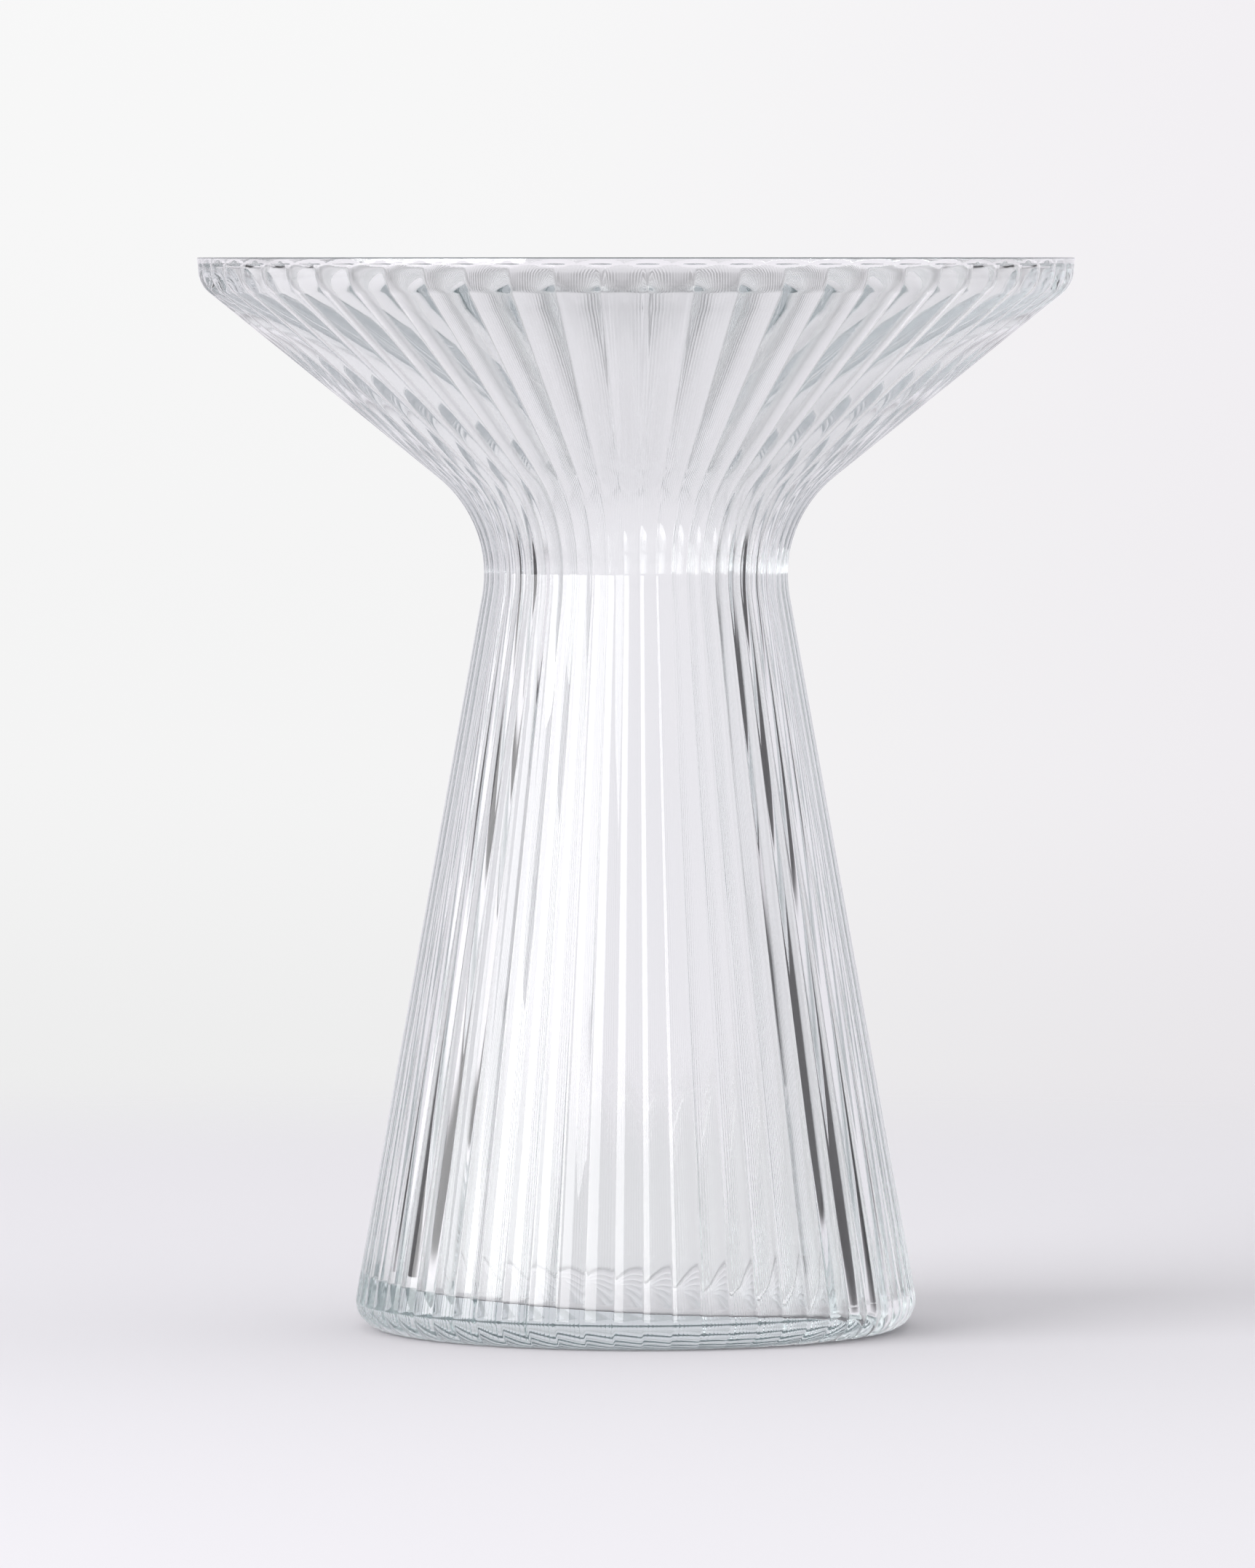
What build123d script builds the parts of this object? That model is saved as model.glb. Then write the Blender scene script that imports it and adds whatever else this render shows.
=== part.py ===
from build123d import *
import os
from itertools import pairwise

# A clear glass fan vase with vertical flutes, in millimetres.
# It stands on the XY plane with its axis on Z. Radii are taken over the crests of the flutes.

# The outside profile is four straight runs, rounded where they meet
HEIGHT = 250.0
FOOT_RADIUS = 66.8  # where the body's slope would meet the table
WAIST_RADIUS = 32.9  # where the slopes of the body and the fan would meet
FAN_RISE = 62.0  # from there to the top
RIM_CORNER_RADIUS = 101.7  # where the slope of the fan would meet the upright band
RIM_RADIUS = 102.2  # at the top
RIM_BAND = 6.4  # height of the upright band under the top
HEEL_ROUNDING = 6.5
WAIST_ROUNDING = 29.0
RIM_ROUNDING = 6.5
INNER_RIM_ROUNDING = 7.0  # the same corner on the inside

# Flutes: convex ribs side by side, which meet in sharp valleys
FLUTE_COUNT = 60
FLUTE_RELIEF = 0.0155  # depth of a valley below the crests, per unit of radius
FLUTE_FLATS = 4  # flats that stand for the arc of one flute

# Glass thickness, the inside and the lip
WALL = 8.5  # of the body
RIM_WALL = 4.5  # the fan thins to this
FLOOR = 8.0
FLOOR_COVE = 3.0  # rounding where the inside wall meets the floor
FOOT_SEAM = 1.0  # the foot reaches this far above the floor
COLLAR = 1.3  # plain band at the top, under which the flutes end
LIP_BEVEL = 0.4  # ground edge, outside and inside

# The underside is hollowed, so the vase stands on a ring
RING_WIDTH = 9.0
PUNT_RISE = 1.5
PUNT_EDGE = 6.0  # width of the slope round the hollow

# Level rings along each rounded stretch of the profile
HEEL_RING_COUNT = 6
WAIST_RING_COUNT = 7
RIM_RING_COUNT = 4
COVE_RING_COUNT = 3


def inset_corner(before, corner, after, distance):
    """The corner of two runs after both have moved to their left by a distance."""
    first = (corner - before).normalized().rotate(Axis.Z, 90)
    second = (after - corner).normalized().rotate(Axis.Z, 90)
    return corner + (first + second) * (distance / (1 + first.dot(second)))


def at_height(start, end, height):
    """The point at a height on the line through two points of the profile."""
    return start + (end - start) * ((height - start.Y) / (end.Y - start.Y))


def stations(edge, count):
    """Evenly spaced points along an edge of the profile."""
    return [edge @ (step / (count - 1)) for step in range(count)]


def fluted_ring(station):
    """Corners of the level section whose crests pass through a point of the profile."""
    crest = station.X
    pitch = 360 / FLUTE_COUNT
    valley = Vector(crest * (1 - FLUTE_RELIEF), 0)
    flute = ThreePointArc(valley.rotate(Axis.Z, -pitch / 2), (crest, 0), valley.rotate(Axis.Z, pitch / 2))
    flats = [flute @ (step / FLUTE_FLATS) for step in range(FLUTE_FLATS)]
    level = Vector(0, 0, station.Y)
    return [level + flat.rotate(Axis.Z, pitch * turn) for turn in range(FLUTE_COUNT) for flat in flats]


def plain_ring(station):
    """Corners of a level section of the inside or the underside, with one flat behind each flute."""
    pitch = 360 / FLUTE_COUNT
    corner = Vector(station.X, 0).rotate(Axis.Z, pitch / 2)
    level = Vector(0, 0, station.Y)
    return [level + corner.rotate(Axis.Z, pitch * turn) for turn in range(FLUTE_COUNT)]


def flat_face(*corners):
    """A plane face on its corners."""
    return Face(Wire.make_polygon(corners, close=True))


def stacked(ring, points):
    """A solid with flat sides between the level rings at points of the profile."""
    rings = [ring(point) for point in points]
    faces = [flat_face(*rings[0]), flat_face(*rings[-1])]
    for lower, upper in pairwise(rings):
        for side in range(len(lower)):
            faces.append(flat_face(lower[side - 1], lower[side], upper[side], upper[side - 1]))
    return Solid(Shell(faces))


def write(shape, node):
    """Save one node."""
    shape.label = node
    export_step(shape, f"parts/{node}.step")


# Profile of the crests, from the axis under the foot to the top
foot_corner = Vector(FOOT_RADIUS, 0)
waist_corner = Vector(WAIST_RADIUS, HEIGHT - FAN_RISE)
rim_corner = Vector(RIM_CORNER_RADIUS, HEIGHT - RIM_BAND)
rim_top = Vector(RIM_RADIUS, HEIGHT)
profile = FilletPolyline(
    (0, 0),
    foot_corner,
    waist_corner,
    rim_corner,
    rim_top,
    radius=[HEEL_ROUNDING, WAIST_ROUNDING, RIM_ROUNDING],
)
underside, heel, body_run, waist, fan_run, rim_turn, band = Wire(profile.edges()).order_edges()

# Profile of the hollow: the same corners moved in by the wall, and a floor
inner_waist = inset_corner(foot_corner, waist_corner, rim_corner, WALL)
inner_rim_corner = inset_corner(waist_corner, rim_corner, rim_top, RIM_WALL)
inner_floor_corner = at_height(inner_waist, inner_waist + foot_corner - waist_corner, FLOOR)
inner_top = at_height(inner_rim_corner, inner_rim_corner + rim_top - rim_corner, HEIGHT)
hollow_profile = FilletPolyline(
    (0, FLOOR),
    inner_floor_corner,
    inner_waist,
    inner_rim_corner,
    inner_top,
    radius=[FLOOR_COVE, WAIST_ROUNDING + WALL, INNER_RIM_ROUNDING],
)
_, cove, _, inner_neck, _, inner_turn, inner_band = Wire(hollow_profile.edges()).order_edges()
hollow_stations = [
    *stations(cove, COVE_RING_COUNT),
    *stations(inner_neck, WAIST_RING_COUNT),
    *stations(inner_turn, RIM_RING_COUNT),
    at_height(inner_band @ 0, inner_top, HEIGHT - LIP_BEVEL),
    inner_top + Vector(LIP_BEVEL, 0),
]
hollow = stacked(plain_ring, hollow_stations)

# Shallow hollow under the foot, inside the standing ring
punt_edge = underside @ 1 - Vector(RING_WIDTH, 0)
punt_top = punt_edge + Vector(-PUNT_EDGE, PUNT_RISE)
punt = stacked(plain_ring, [punt_edge, punt_top])

# The five zones of the glass, which meet on level sections
foot_top = at_height(body_run @ 0, body_run @ 1, FLOOR + FOOT_SEAM)
collar_start = at_height(band @ 0, rim_top, HEIGHT - COLLAR)
collar = Pos(0, 0, HEIGHT) * Cylinder(RIM_RADIUS, COLLAR, align=(Align.CENTER, Align.CENTER, Align.MAX))
collar = chamfer(collar.edges().sort_by(Axis.Z)[-1], LIP_BEVEL)

foot = stacked(fluted_ring, [*stations(heel, HEEL_RING_COUNT), foot_top]) - punt - hollow
body = stacked(fluted_ring, [foot_top, body_run @ 1]) - hollow
neck = stacked(fluted_ring, stations(waist, WAIST_RING_COUNT)) - hollow
fan = stacked(fluted_ring, [fan_run @ 0, fan_run @ 1]) - hollow
rim = stacked(fluted_ring, [*stations(rim_turn, RIM_RING_COUNT), collar_start]) + collar - hollow

os.makedirs("parts", exist_ok=True)
write(foot, "foot")
write(body, "body")
write(neck, "neck")
write(fan, "fan")
write(rim, "rim")
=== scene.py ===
"""Looks of a clear fluted glass fan vase, in metres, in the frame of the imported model."""

import logging
import math
from collections.abc import Sequence
from dataclasses import dataclass, field
from enum import Enum

import bpy
from mathutils import Matrix, Vector, noise


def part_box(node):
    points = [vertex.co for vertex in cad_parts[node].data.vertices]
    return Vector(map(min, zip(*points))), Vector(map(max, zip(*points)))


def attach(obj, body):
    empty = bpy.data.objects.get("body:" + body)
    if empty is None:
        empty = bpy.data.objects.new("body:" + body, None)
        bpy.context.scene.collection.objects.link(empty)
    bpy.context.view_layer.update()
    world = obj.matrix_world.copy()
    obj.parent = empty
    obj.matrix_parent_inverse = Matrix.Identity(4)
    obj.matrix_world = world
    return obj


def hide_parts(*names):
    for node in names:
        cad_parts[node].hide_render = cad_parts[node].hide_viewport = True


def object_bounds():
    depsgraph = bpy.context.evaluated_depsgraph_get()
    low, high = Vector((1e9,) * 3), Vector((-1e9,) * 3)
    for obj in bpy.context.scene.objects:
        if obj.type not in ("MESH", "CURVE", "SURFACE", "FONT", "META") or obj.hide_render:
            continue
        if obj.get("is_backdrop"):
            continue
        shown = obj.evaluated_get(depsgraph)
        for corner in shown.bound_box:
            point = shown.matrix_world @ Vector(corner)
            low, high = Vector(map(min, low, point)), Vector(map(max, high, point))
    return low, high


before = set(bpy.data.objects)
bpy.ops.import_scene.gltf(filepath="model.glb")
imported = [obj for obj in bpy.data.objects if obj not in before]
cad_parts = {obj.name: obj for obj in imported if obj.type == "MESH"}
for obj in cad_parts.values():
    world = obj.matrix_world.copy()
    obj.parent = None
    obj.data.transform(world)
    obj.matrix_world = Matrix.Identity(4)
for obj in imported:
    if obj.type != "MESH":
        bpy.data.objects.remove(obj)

LOG = logging.getLogger("vase")
MM = 0.001
BODY = "root"
GLASS_BOUNCES = 64  # light crosses the flutes and the foot many times
OUTER_SEED = 3.0  # places in the noise, so that the two sides of the wall differ
INNER_SEED = 40.0
IMAGE_WIDTH = 1725
IMAGE_HEIGHT = 2156
SENSOR_HEIGHT_MM = 36.0


class Skin(Enum):
    """Which finish a stretch of the glass has; the value is its place among the piece's materials."""

    POLISHED = 0
    GROUND = 1


def linear(colour: str) -> tuple[float, float, float, float]:
    """Turn a written colour into the values that a shader works with.

    Args:
        colour: An sRGB colour as six hex digits after a hash.

    Returns:
        Linear red, green, blue and an alpha of 1.
    """
    parts = [int(colour[i : i + 2], 16) / 255 for i in (1, 3, 5)]
    red, green, blue = (c / 12.92 if c <= 0.04045 else ((c + 0.055) / 1.055) ** 2.4 for c in parts)
    return red, green, blue, 1.0


def add_node(
    tree: bpy.types.NodeTree, kind: str, settings: dict | None = None, links: dict | None = None
) -> bpy.types.Node:
    """Add a node with its settings and links.

    Args:
        tree: The tree that gets the node.
        kind: The node's type name.
        settings: Values by attribute name, or by input socket, named or numbered.
        links: Output sockets by the input socket that each one feeds.

    Returns:
        The new node.
    """
    node = tree.nodes.new(kind)
    for name, value in (settings or {}).items():
        if isinstance(name, str) and hasattr(node, name):
            setattr(node, name, value)
        else:
            node.inputs[name].default_value = value
    for name, source in (links or {}).items():
        tree.links.new(source, node.inputs[name])
    return node


def set_ramp(ramp: bpy.types.ColorRamp, stops: Sequence[tuple[float, str | float]]) -> None:
    """Fill a ramp.

    Args:
        ramp: The ramp to fill.
        stops: Pairs of place and colour, or place and grey level, in order.
    """
    ramp.interpolation = "EASE"
    while len(ramp.elements) < len(stops):
        ramp.elements.new(0.5)
    for element, (place, colour) in zip(ramp.elements, stops):
        element.position = place
        element.color = linear(colour) if isinstance(colour, str) else (colour, colour, colour, 1.0)


def ring_radius(node: str, height: float) -> float:
    """Measure a CAD node over its crests at one of its levels.

    Args:
        node: The node's name.
        height: Height of a level at which the node has corners.

    Returns:
        The largest radius there.
    """
    corners = (vertex.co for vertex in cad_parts[node].data.vertices)
    return max(corner.xy.length for corner in corners if abs(corner.z - height) < 0.01 * MM)


def end_ring(node: str, top: bool) -> Vector:
    """Find where the outline of a CAD node ends.

    Args:
        node: The node's name.
        top: Whether the upper end is meant.

    Returns:
        Radius and height of the crests there.
    """
    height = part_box(node)[1 if top else 0][2]
    return Vector((ring_radius(node, height), height))


def straight(start: Vector, end: Vector, step: float) -> list[Vector]:
    """Divide a straight stretch of a profile.

    Args:
        start: Its first point, which is not repeated.
        end: Its last point.
        step: Largest distance between points.

    Returns:
        The points after the start.
    """
    count = max(1, math.ceil((end - start).length / step))
    return [start.lerp(end, i / count) for i in range(1, count + 1)]


def tangent_arc(start: Vector, heading: Vector, end: Vector, count: int) -> list[Vector]:
    """Follow the circle that leaves a point in a direction and reaches another point.

    Args:
        start: Its first point, which is not repeated.
        heading: Unit direction at the start.
        end: Its last point.
        count: Number of points.

    Returns:
        The points after the start.
    """
    chord = end - start
    left = Vector((-heading.y, heading.x))
    centre = start + left * (chord.length_squared / (2 * left.dot(chord)))
    turn = 2 * math.atan2(left.dot(chord), heading.dot(chord))
    return [centre + Matrix.Rotation(turn * i / count, 2) @ (start - centre) for i in range(1, count + 1)]


@dataclass(frozen=True)
class ClearGlass:
    """Mould-blown soda-lime glass, fire-polished.

    Nothing of it is seen but what it bends and mirrors: pale where it shows the backdrop, grey or dark
    along the flutes, and a faint grey-green where the light crosses a lot of it, as in the foot.
    """

    name: str
    surface: str = "#FDFEFD"
    refraction: float = 1.52
    roughness: float = 0.0
    tint: str = "#B3C4C6"
    tint_per_metre: float = 5.5
    grain_mm: float = 2.4
    grain_height_mm: float = 0.0015

    def make(self) -> bpy.types.Material:
        """Build the material.

        Returns:
            The material.
        """
        material = bpy.data.materials.new(self.name)
        material.use_nodes = True
        tree = material.node_tree
        tree.nodes.clear()
        place = add_node(tree, "ShaderNodeTexCoord")
        grain = add_node(
            tree,
            "ShaderNodeTexNoise",
            {"Scale": 1 / (self.grain_mm * MM), "Detail": 3.0, "Roughness": 0.6},
            {"Vector": place.outputs["Object"]},
        )
        bump = add_node(
            tree,
            "ShaderNodeBump",
            {"Strength": 1.0, "Distance": self.grain_height_mm * MM},
            {"Height": grain.outputs["Fac"]},
        )
        shader = add_node(
            tree,
            "ShaderNodeBsdfPrincipled",
            {
                "Base Color": linear(self.surface),
                "Roughness": self.roughness,
                "IOR": self.refraction,
                "Transmission Weight": 1.0,
            },
            {"Normal": bump.outputs["Normal"]},
        )
        absorption = add_node(
            tree, "ShaderNodeVolumeAbsorption", {"Color": linear(self.tint), "Density": self.tint_per_metre}
        )
        add_node(
            tree,
            "ShaderNodeOutputMaterial",
            links={"Surface": shader.outputs["BSDF"], "Volume": absorption.outputs["Volume"]},
        )
        return material


@dataclass(frozen=True)
class Ring:
    """One level ring of points on the glass, and the finish of the strip that ends at it."""

    place: Vector
    fluting: float = 0.0
    waves: float = 0.0
    slope: float = 0.0
    inside: bool = False
    skin: Skin = Skin.POLISHED


@dataclass
class VaseGlass:
    """The whole vase: one closed piece of glass. Sizes are in mm, unless they are shares."""

    flutes: int = 60
    relief: float = 0.0155  # depth of a valley below the crests, per unit of radius
    valley_rounding: float = 0.06  # share of half a flute
    flute_places: tuple[float, ...] = (0.0, 0.04, 0.1, 0.2, 0.35, 0.5, 0.65, 0.8, 0.9, 0.96)
    unevenness: float = 0.05  # of the relief, from flute to flute and along each
    heel: float = 8.0  # height below which the flutes get shallower
    heel_share: float = 0.9  # of the relief, which is left at the table
    wall: float = 8.5
    rim_wall: float = 4.0  # the fan thins to this
    thinning: float = 3.0  # power: above 1, most of it comes near the rim
    floor: float = 8.0
    floor_dome: float = 0.2  # the floor is a little higher in the middle
    floor_slope: float = 0.055  # the floor falls to the right, per unit of width
    slope_fade: float = 30.0  # height over the floor in which the wall takes up that slope
    cove: float = 0.8
    collar: float = 1.3  # plain band over the ends of the flutes
    collar_fade: float = 0.4
    lip: float = 0.25
    inner_turn: float = 7.0  # rounding on the inside, from the fan to the lip
    band: float = 3.6  # upright stretch under the top
    band_draft: float = 0.2
    ring_width: float = 9.0
    punt_rise: float = 1.5
    punt_dome: float = 0.3
    punt_edge: float = 6.0
    punt_rounding: float = 1.4  # reach of its two roundings from its middle, in halves of the edge
    wave_size: float = 13.0  # waves that blowing left in the glass
    wave_height: float = 0.08
    outer_waves: float = 0.4  # share of those inside
    drawn_out: float = 2.5  # the waves are longer up the wall by this factor
    uneven_drawn_out: float = 4.0  # and the unevenness of the flutes by this one
    calm_rim: float = 4.0  # the waves die out this near the lip
    calm_foot: float = 10.0  # and this near the table
    row_step: float = 9.0  # of the rows of points, on the straight walls
    band_step: float = 1.0
    heel_rows: int = 16
    waist_rows: int = 16
    rim_rows: int = 9
    fade_rows: int = 4
    turn_rows: int = 10
    cove_rows: int = 6
    punt_rows: int = 3
    cove_gap: float = 2.0  # no row of the wall lies nearer to the cove
    turn_gap: float = 1.0  # or to the turn under the lip
    straight_at: float = 80.0  # a height at which the wall is straight
    floor_places: tuple[float, ...] = (0.2, 0.4, 0.6, 0.75, 0.9)  # shares of its radius
    dome_places: tuple[float, ...] = (0.15, 0.3, 0.45, 0.6, 0.75, 0.9)
    lip_turns: tuple[float, ...] = (0.5, 1.05, math.pi / 2)  # along its rounding
    polished: ClearGlass = field(default_factory=lambda: ClearGlass("glass_mould_blown_fire_polished"))
    # Fine grit leaves the edge of the lip a soft grey
    ground: ClearGlass = field(
        default_factory=lambda: ClearGlass(
            "glass_lip_ground_fine", roughness=0.25, grain_mm=0.5, grain_height_mm=0.01
        )
    )

    def underside(self, contact: Vector) -> list[Vector]:
        """Draw the underside, from near the middle of the punt to the standing ring.

        Args:
            contact: Where the heel meets the table.

        Returns:
            Radius and height of each ring.
        """
        edge = Vector((contact.x - self.ring_width * MM, contact.y))
        top = edge + Vector((-self.punt_edge * MM, self.punt_rise * MM))
        middle = (edge + top) / 2
        slope = (edge - top).normalized()
        roof = Vector((middle.x - (edge.x - middle.x) * self.punt_rounding, top.y))
        dome = self.punt_dome * MM
        return [
            *(Vector((roof.x * x, top.y + dome * (1 - x * x))) for x in self.dome_places),
            roof,
            *tangent_arc(roof, Vector((1, 0)), middle, self.punt_rows),
            *tangent_arc(middle, slope, Vector((2 * middle.x - roof.x, edge.y)), self.punt_rows),
        ]

    def outside(self, contact: Vector) -> list[Vector]:
        """Draw the outside over the crests, from the standing ring to the lip.

        Args:
            contact: Where the heel meets the table.

        Returns:
            Radius and height of each ring.
        """
        body_low, body_high = end_ring("body", top=False), end_ring("body", top=True)
        fan_low, fan_high = end_ring("fan", top=False), end_ring("fan", top=True)
        rim_radius, _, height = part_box("rim")[1]
        body_way = (body_high - body_low).normalized()
        fan_way = (fan_high - fan_low).normalized()
        slope_foot = body_low - body_way * (body_low.y / body_way.y)
        heel_end = slope_foot + body_way * (slope_foot.x - contact.x)
        band_low = Vector((rim_radius - self.band_draft * MM, height - self.band * MM))
        lip_low = Vector((rim_radius, height - self.lip * MM))
        collar_low = band_low.lerp(lip_low, (self.band - self.collar) / (self.band - self.lip))
        fade_low = band_low.lerp(collar_low, 1 - self.collar_fade / (self.band - self.collar))
        step = self.row_step * MM
        return [
            contact,
            *tangent_arc(contact, Vector((1, 0)), heel_end, self.heel_rows),
            *straight(heel_end, body_high, step),
            *tangent_arc(body_high, body_way, fan_low, self.waist_rows),
            *straight(fan_low, fan_high, step),
            *tangent_arc(fan_high, fan_way, band_low, self.rim_rows),
            *straight(band_low, fade_low, self.band_step * MM),
            *straight(fade_low, collar_low, self.collar_fade * MM / self.fade_rows),
            lip_low,
        ]

    def inside(self, outside: Sequence[Vector]) -> list[Vector]:
        """Draw the inside wall and floor, from under the lip to near the middle of the floor.

        Args:
            outside: The outside profile.

        Returns:
            Radius and height of each ring.
        """
        wall = self.wall * MM
        floor = self.floor * MM
        body_high, fan_high = end_ring("body", top=True), end_ring("fan", top=True)
        inner = []
        for before, here, after in zip(outside, outside[1:], outside[2:]):
            way = (after - before).normalized()
            thinned = max(here.y - body_high.y, 0) / (fan_high.y - body_high.y)
            if thinned < 1:
                thickness = wall + (self.rim_wall * MM - wall) * thinned**self.thinning
                inner.append(here + Vector((-way.y, way.x)) * thickness)
        slope = (body_high - end_ring("body", top=False)).normalized()
        mid_wall = min(inner, key=lambda point: abs(point.y - self.straight_at * MM))
        corner = mid_wall + slope * ((floor - mid_wall.y) / slope.y)
        reach = self.cove * MM * math.tan((math.pi / 2 - math.asin(-slope.x)) / 2)
        cove_top = corner + slope * reach
        cove_foot = corner - Vector((reach, 0))
        lip_foot = Vector((outside[-1].x - self.rim_wall * MM, outside[-1].y))
        fan_way = (inner[-1] - inner[-2]).normalized()
        turn = inner[-1] + fan_way * ((lip_foot.x - inner[-1].x) / fan_way.x)
        turn_reach = self.inner_turn * MM * math.tan(math.acos(fan_way.y) / 2)
        turn_start, turn_end = turn - fan_way * turn_reach, turn + Vector((0, turn_reach))
        wall_low, wall_high = cove_top.y + self.cove_gap * MM, turn_start.y - self.turn_gap * MM
        step = self.row_step * MM
        dome = self.floor_dome * MM
        upward = [
            *(Vector((cove_foot.x * x, floor + dome * (1 - x * x))) for x in self.floor_places),
            cove_foot,
            *tangent_arc(cove_foot, Vector((1, 0)), cove_top, self.cove_rows),
            *[point for point in inner if wall_low < point.y < wall_high],
            turn_start,
            *tangent_arc(turn_start, fan_way, turn_end, self.turn_rows),
            *straight(turn_end, lip_foot, step),
        ]
        return upward[::-1]

    def rings(self) -> list[Ring]:
        """Go once round the section of the glass.

        Returns:
            Every ring, from the middle of the underside over the lip to the middle of the floor.
        """
        contact = end_ring("foot", top=False)
        outside = self.outside(contact)
        inside = self.inside(outside)
        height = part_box("rim")[1][2]
        lip = self.lip * MM

        def shown(y: float) -> float:
            """Share of the flutes that is left near the plain collar."""
            share = (height - self.collar * MM - y) / (self.collar_fade * MM)
            share = min(max(share, 0), 1)
            return share * share * (3 - 2 * share)

        def calm(y: float) -> float:
            """Share of the waves that is left near the lip and the table."""
            return min(max(min((height - y) / (self.calm_rim * MM), y / (self.calm_foot * MM)), 0), 1)

        def sloped(y: float) -> float:
            """Share of the floor's slope that is left up the inside of the wall."""
            share = min(max((y / MM - self.floor) / self.slope_fade, 0), 1)
            return (1 - share) ** 2

        rings = [Ring(place) for place in self.underside(contact)]
        for place in outside:
            heel = min(1, self.heel_share + (1 - self.heel_share) * place.y / (self.heel * MM))
            rings.append(Ring(place, shown(place.y) * heel, self.outer_waves * calm(place.y)))
        for low, side in ((outside[-1], -1), (inside[0], 1)):
            edge = [
                low + Vector((side * lip * (1 - math.cos(a)), lip * math.sin(a))) for a in self.lip_turns
            ]
            rings += [Ring(place, skin=Skin.GROUND) for place in (edge if side < 0 else edge[::-1])]
        rings += [Ring(place, waves=calm(place.y), slope=sloped(place.y), inside=True) for place in inside]
        return rings

    def depth(self, place: float) -> float:
        """Give the shape of one flute: an arc between valleys that are a little rounded.

        Args:
            place: Place across the flute, from valley at 0 to valley at 1.

        Returns:
            Depth below the crest, 1 in the valley.
        """
        edge = self.valley_rounding
        from_valley = 1 - abs(2 * place - 1)
        if from_valley < edge:
            return 1 - from_valley**2 / edge
        return (1 - from_valley) ** 2 / (1 - edge)

    def ring_points(self, ring: Ring, into_glass: Vector) -> list[Vector]:
        """Place the points of one ring.

        Args:
            ring: The ring.
            into_glass: Direction into the glass, as radius and height.

        Returns:
            Points all the way round.
        """
        points = []
        scale = 1 / (self.wave_size * MM)
        low, high = end_ring("body", top=False), end_ring("body", top=True)
        taper = (high.x - low.x) / (high.y - low.y)
        for flute in range(self.flutes):
            for place in self.flute_places:
                turn = 2 * math.pi * (flute + place - 0.5) / self.flutes
                round_about = Vector((math.cos(turn), math.sin(turn)))
                spot = round_about * ring.place.x
                rise = -ring.slope * self.floor_slope * spot.x
                seed = INNER_SEED if ring.inside else OUTER_SEED
                up_flute = ring.place.y * scale / self.uneven_drawn_out
                uneven = noise.noise(Vector((*(spot * scale), up_flute - seed)))
                fluting = ring.fluting * self.relief * (1 + self.unevenness * uneven)
                radius = ring.place.x * (1 - fluting * self.depth(place)) + rise * taper
                up_wall = ring.place.y * scale / self.drawn_out
                wave = noise.noise(Vector((*(spot * scale), up_wall + seed)))
                shift = into_glass * ((0.5 + 0.5 * wave) * ring.waves * self.wave_height * MM)
                points.append(Vector((*(round_about * (radius + shift.x)), ring.place.y + shift.y + rise)))
        return points

    def build(self) -> bpy.types.Object:
        """Make the mesh.

        Returns:
            The vase, with its faces marked by finish.
        """
        rings = self.rings()
        count = self.flutes * len(self.flute_places)
        vertices: list[Vector] = []
        for before, ring, after in zip([rings[0], *rings], rings, [*rings[1:], rings[-1]]):
            way = (after.place - before.place).normalized()
            vertices += self.ring_points(ring, Vector((-way.y, way.x)))
        faces: list[tuple[int, ...]] = []
        skins: list[int] = []
        for number, ring in enumerate(rings[1:]):
            low, high = number * count, (number + 1) * count
            for i in range(count):
                j = (i + 1) % count
                faces.append((low + i, low + j, high + j, high + i))
                skins.append(ring.skin.value)
        for ring, first in ((rings[0], 0), (rings[-1], (len(rings) - 1) * count)):
            middle = len(vertices)
            vertices.append(Vector((0, 0, ring.place.y)))
            for i in range(count):
                spoke = (first + (i + 1) % count, first + i, middle)
                faces.append(spoke[::-1] if first else spoke)
                skins.append(ring.skin.value)
        mesh = bpy.data.meshes.new("vase_glass")
        mesh.from_pydata(vertices, [], faces)
        mesh.polygons.foreach_set("material_index", skins)
        mesh.polygons.foreach_set("use_smooth", [True] * len(faces))
        mesh.update()
        vase = bpy.data.objects.new("vase_glass", mesh)
        bpy.context.scene.collection.objects.link(vase)
        return vase

    def dress(self, vase: bpy.types.Object) -> None:
        """Give the vase its finishes and its place in the frame.

        Args:
            vase: The piece that build made.
        """
        for finish in (self.polished, self.ground):
            vase.data.materials.append(finish.make())
        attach(vase, BODY)
        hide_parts("foot", "body", "neck", "fan", "rim")


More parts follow.
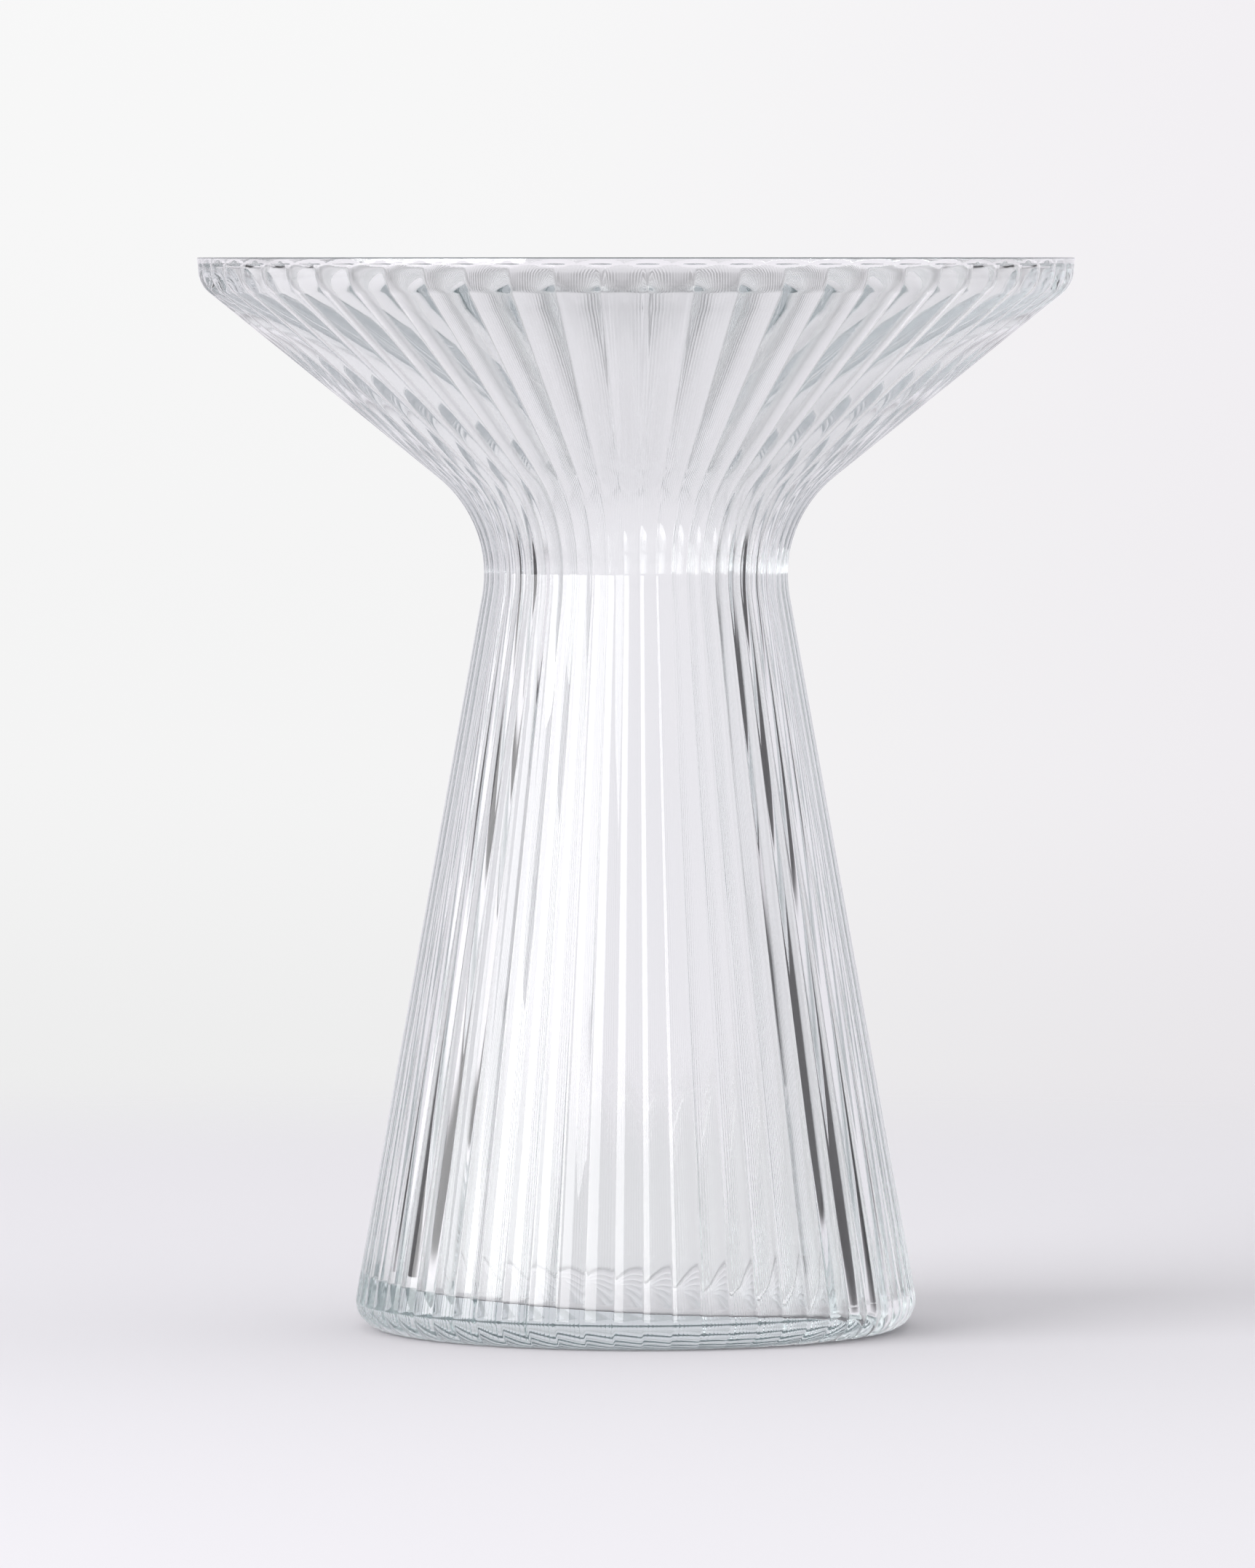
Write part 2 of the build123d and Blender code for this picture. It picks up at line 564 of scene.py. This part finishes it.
@dataclass
class Studio:
    """Floor, surroundings, lamp and camera. Lengths are in metres and angles in degrees."""

    floor_colour: str = "#E8E6EB"
    floor_inner: float = 0.45
    floor_outer: float = 0.9
    floor_sides: int = 96
    floor_drop: float = 0.00005  # so that the faces under the vase stay apart
    # painted light: the backdrop is lighter towards the soft box at the left and a little darker at the
    # right
    backdrop_lit_left: str = "#FBFBFB"
    backdrop_shaded_right: str = "#F5F2F6"
    backdrop_spread: float = 3.0  # each way, from the one colour to the other
    # painted shade: the backdrop darkens from a little above the horizon down to where the floor fades into
    # it
    backdrop_shade_by_rise: tuple[tuple[float, float], ...] = (
        (-6.0, 0.86),
        (-4.2, 0.88),
        (-2.3, 0.94),
        (0.7, 0.965),
        (3.0, 1.0),
    )
    panel_tint: str = "#FBF7FE"
    panels_round: tuple[tuple[float, float], ...] = (
        (-180, 0.92),
        (-74, 0.92),
        (-69, 0.08),
        (-60, 0.08),
        (-55, 0.95),
        (0, 0.97),
        (50, 0.95),
        (56, 0.08),
        (78, 0.08),
        (86, 0.85),
        (180, 0.92),
    )
    panels_rise: tuple[tuple[float, float], ...] = (
        (-90, 0.15),
        (-25, 0.2),
        (-16, 0.45),
        (-11, 0.85),
        (-7, 0.97),
        (0, 0.97),
        (25, 1.0),
        (45, 0.65),
        (90, 0.4),
    )
    fill: float = 0.8
    key_azimuth: float = -52.0
    key_distance: float = 2.6
    key_low: float = 0.02
    key_size: tuple[float, float] = (2.4, 2.2)
    key_level: float = 4.5
    camera_azimuth: float = 1.5
    camera_distance: float = 2.7155
    camera_reach: float = 50.0
    focal_pixels: float = 16000.0
    axis_pixel: float = 874.0
    horizon_pixel: float = 354.0

    def build_floor(self) -> bpy.types.Object:
        """Make a round matt floor whose edge fades into the backdrop.

        Returns:
            The floor.
        """
        mesh = bpy.data.meshes.new("floor")
        ring = [2 * math.pi * i / self.floor_sides for i in range(self.floor_sides)]
        corners = [(self.floor_outer * math.cos(a), self.floor_outer * math.sin(a), 0) for a in ring]
        mesh.from_pydata(corners, [], [range(self.floor_sides)])
        floor = bpy.data.objects.new("floor", mesh)
        floor.location.z = -self.floor_drop
        bpy.context.scene.collection.objects.link(floor)
        material = bpy.data.materials.new("matt_board")
        material.use_nodes = True
        tree = material.node_tree
        tree.nodes.clear()
        place = add_node(tree, "ShaderNodeTexCoord")
        away = add_node(tree, "ShaderNodeVectorMath", {"operation": "LENGTH"}, {0: place.outputs["Object"]})
        fade = add_node(
            tree,
            "ShaderNodeMapRange",
            {"interpolation_type": "SMOOTHSTEP", "From Min": self.floor_inner, "From Max": self.floor_outer},
            {"Value": away.outputs["Value"]},
        )
        board = add_node(tree, "ShaderNodeBsdfDiffuse", {"Color": linear(self.floor_colour)})
        clear = add_node(tree, "ShaderNodeBsdfTransparent")
        mix = add_node(
            tree,
            "ShaderNodeMixShader",
            links={0: fade.outputs["Result"], 1: board.outputs[0], 2: clear.outputs[0]},
        )
        add_node(tree, "ShaderNodeOutputMaterial", links={"Surface": mix.outputs[0]})
        floor.data.materials.append(material)
        floor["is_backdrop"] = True
        return floor

    def build_world(self) -> None:
        """Make the surroundings: a pale backdrop for the camera with painted light and shade, and a studio
        for the glass to show.
        """
        world = bpy.data.worlds.new("studio")
        world.use_nodes = True
        bpy.context.scene.world = world
        tree = world.node_tree
        tree.nodes.clear()
        place = add_node(tree, "ShaderNodeTexCoord")
        way = add_node(tree, "ShaderNodeSeparateXYZ", links={0: place.outputs["Generated"]})
        rise = add_node(tree, "ShaderNodeMath", {"operation": "ARCSINE"}, {0: way.outputs["Z"]})
        turn = add_node(
            tree, "ShaderNodeMath", {"operation": "ARCTAN2"}, {0: way.outputs["X"], 1: way.outputs["Y"]}
        )

        def ramp(angle: bpy.types.Node, stops: Sequence[tuple[float, str | float]]) -> bpy.types.NodeSocket:
            """Read a colour by angle.

            Args:
                angle: A node whose first output is an angle.
                stops: Pairs of degrees and colour, or degrees and grey level, in order.

            Returns:
                The colour.
            """
            low, high = stops[0][0], stops[-1][0]
            share = add_node(
                tree,
                "ShaderNodeMapRange",
                {"From Min": math.radians(low), "From Max": math.radians(high)},
                {"Value": angle.outputs[0]},
            )
            colours = add_node(tree, "ShaderNodeValToRGB", links={0: share.outputs[0]})
            set_ramp(colours.color_ramp, [((a - low) / (high - low), level) for a, level in stops])
            return colours.outputs["Color"]

        multiply = {"data_type": "RGBA", "blend_type": "MULTIPLY", "Factor": 1.0}
        spread = self.backdrop_spread
        # painted light and shade on the backdrop: lighter at the left and at the top, darker at the right
        # and near the floor
        across = ramp(turn, ((-spread, self.backdrop_lit_left), (spread, self.backdrop_shaded_right)))
        behind = add_node(tree, "ShaderNodeMix", multiply, {6: across, 7: ramp(rise, self.backdrop_shade_by_rise)})
        backdrop = add_node(tree, "ShaderNodeBackground", links={"Color": behind.outputs[2]})
        levels = add_node(
            tree,
            "ShaderNodeMix",
            multiply,
            {6: ramp(turn, self.panels_round), 7: ramp(rise, self.panels_rise)},
        )
        tinted = {**multiply, 7: linear(self.panel_tint)}
        panels = add_node(tree, "ShaderNodeMix", tinted, {6: levels.outputs[2]})
        round_about = add_node(tree, "ShaderNodeBackground", links={"Color": panels.outputs[2]})
        fill = add_node(tree, "ShaderNodeBackground", {"Color": (1, 1, 1, 1), "Strength": self.fill})
        path = add_node(tree, "ShaderNodeLightPath")
        in_glass = add_node(
            tree,
            "ShaderNodeMath",
            {"operation": "MAXIMUM"},
            {0: path.outputs["Is Glossy Ray"], 1: path.outputs["Is Transmission Ray"]},
        )
        seen = add_node(
            tree,
            "ShaderNodeMixShader",
            links={0: in_glass.outputs[0], 1: fill.outputs[0], 2: round_about.outputs[0]},
        )
        chosen = add_node(
            tree,
            "ShaderNodeMixShader",
            links={0: path.outputs["Is Camera Ray"], 1: seen.outputs[0], 2: backdrop.outputs[0]},
        )
        add_node(tree, "ShaderNodeOutputWorld", links={"Surface": chosen.outputs[0]})

    def build_key(self) -> None:
        """Make the soft box at the left, which faces the vase."""
        width, height = self.key_size
        light = bpy.data.lights.new("soft_box", "AREA")
        light.shape = "RECTANGLE"
        light.size, light.size_y = width, height
        light.energy = self.key_level * math.pi * width * height
        turn = math.radians(self.key_azimuth)
        lamp = bpy.data.objects.new("soft_box", light)
        lamp.location = (
            self.key_distance * math.sin(turn),
            -self.key_distance * math.cos(turn),
            self.key_low + height / 2,
        )
        aim = Vector((-lamp.location.x, -lamp.location.y, 0))
        lamp.rotation_euler = aim.to_track_quat("-Z", "Y").to_euler()
        bpy.context.scene.collection.objects.link(lamp)

    def build_camera(self, height: float) -> None:
        """Make the camera, level with the rim.

        Args:
            height: Height of the rim.
        """
        data = bpy.data.cameras.new("camera")
        data.sensor_fit = "VERTICAL"
        data.sensor_height = SENSOR_HEIGHT_MM
        data.lens = SENSOR_HEIGHT_MM * self.focal_pixels / IMAGE_HEIGHT
        data.clip_end = self.camera_reach
        camera = bpy.data.objects.new("camera", data)
        turn = math.radians(self.camera_azimuth)
        camera.location = (
            self.camera_distance * math.sin(turn),
            -self.camera_distance * math.cos(turn),
            height,
        )
        dip = math.atan((IMAGE_HEIGHT / 2 - self.horizon_pixel) / self.focal_pixels)
        pan = math.atan((self.axis_pixel - IMAGE_WIDTH / 2) / self.focal_pixels)
        camera.rotation_euler = (math.pi / 2 - dip, 0, turn + pan)
        bpy.context.scene.collection.objects.link(camera)
        bpy.context.scene.camera = camera


def main() -> None:
    """Build the vase and its studio."""
    logging.basicConfig(level=logging.INFO, format="%(message)s")
    cad_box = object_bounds()
    scene = bpy.context.scene
    scene.view_settings.view_transform = "Standard"
    scene.cycles.max_bounces = GLASS_BOUNCES
    scene.cycles.transmission_bounces = GLASS_BOUNCES
    scene.cycles.glossy_bounces = GLASS_BOUNCES

    vase_glass = VaseGlass()
    vase = vase_glass.build()
    vase_glass.dress(vase)
    LOG.info("vase: %d faces", len(vase.data.polygons))

    studio = Studio()
    studio.build_floor()
    studio.build_world()
    studio.build_key()
    studio.build_camera(cad_box[1][2])
    LOG.info("studio: floor, surroundings, soft box and camera")


if __name__ == "__main__":
    main()
